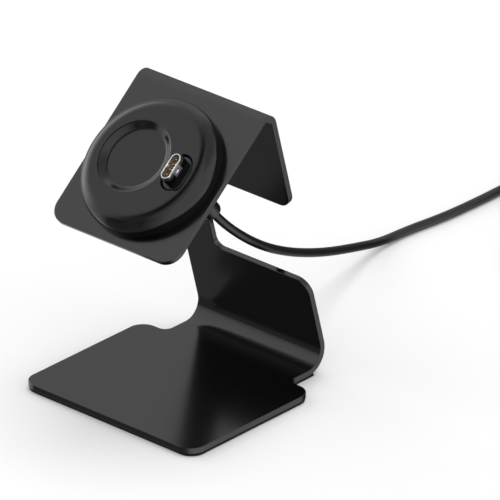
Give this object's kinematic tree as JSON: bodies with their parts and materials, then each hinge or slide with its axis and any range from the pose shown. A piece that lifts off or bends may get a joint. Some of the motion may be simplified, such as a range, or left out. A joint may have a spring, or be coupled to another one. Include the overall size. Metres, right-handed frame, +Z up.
{
  "type": "smartwatch charging dock",
  "caption": "Watch charging stand: a folded black metal sheet with a sloping head, a round puck with a shallow dish, and a captive charging plug whose cord leaves through the back plate.",
  "frame": {"origin": "middle of the stand's footprint, on the surface that it stands on", "axes": "+Z up, +Y to the back, +X to the right as seen from the front"},
  "size_m": [0.075, 0.2555, 0.1013],
  "materials": {
    "black_metal": "satin black anodised",
    "foam_pad": "matt",
    "puck_plastic": "smooth satin moulding",
    "screw_steel": "black oxide",
    "plug_moulding": "gloss moulding",
    "plated_shell": "nickel plated",
    "plug_core": "moulded",
    "circuit_board": "lacquered",
    "gold_contact": "gold plated",
    "cord_jacket": "smooth satin jacket",
    "tie_strap": "woven hook-and-loop strap"
  },
  "bodies": {
    "dock": {"stand_sheet": "black_metal", "base_pad": "foam_pad", "puck_housing": "puck_plastic", "puck_cover": "puck_plastic", "puck_screw_1": "screw_steel", "puck_screw_2": "screw_steel", "puck_screw_3": "screw_steel", "plug_body": "plug_moulding", "plug_shell": "plated_shell", "plug_insulator": "plug_core", "plug_board": "circuit_board", "strain_relief": "cord_jacket", "cord": "cord_jacket", "cord_coil": "cord_jacket", "cord_tail": "cord_jacket", "coil_tie": "tie_strap", "usb_body": "plug_moulding", "usb_shell": "plated_shell", "usb_tongue": "plug_core", "usb_contacts": "gold_contact"},
    "contact_1": {"contact_pin_1": "gold_contact"},
    "contact_2": {"contact_pin_2": "gold_contact"},
    "contact_3": {"contact_pin_3": "gold_contact"},
    "contact_4": {"contact_pin_4": "gold_contact"}
  },
  "joints": [
    {"name": "contact_1_press", "type": "slide", "parent": "dock", "child": "contact_1", "axis": [0, 0.6428, -0.766], "range_m": [0, 0.0005], "stiffness_N_per_m": 400},
    {"name": "contact_2_press", "type": "slide", "parent": "dock", "child": "contact_2", "axis": [0, 0.6428, -0.766], "range_m": [0, 0.0005], "stiffness_N_per_m": 400},
    {"name": "contact_3_press", "type": "slide", "parent": "dock", "child": "contact_3", "axis": [0, 0.6428, -0.766], "range_m": [0, 0.0005], "stiffness_N_per_m": 400},
    {"name": "contact_4_press", "type": "slide", "parent": "dock", "child": "contact_4", "axis": [0, 0.6428, -0.766], "range_m": [0, 0.0005], "stiffness_N_per_m": 400}
  ]
}
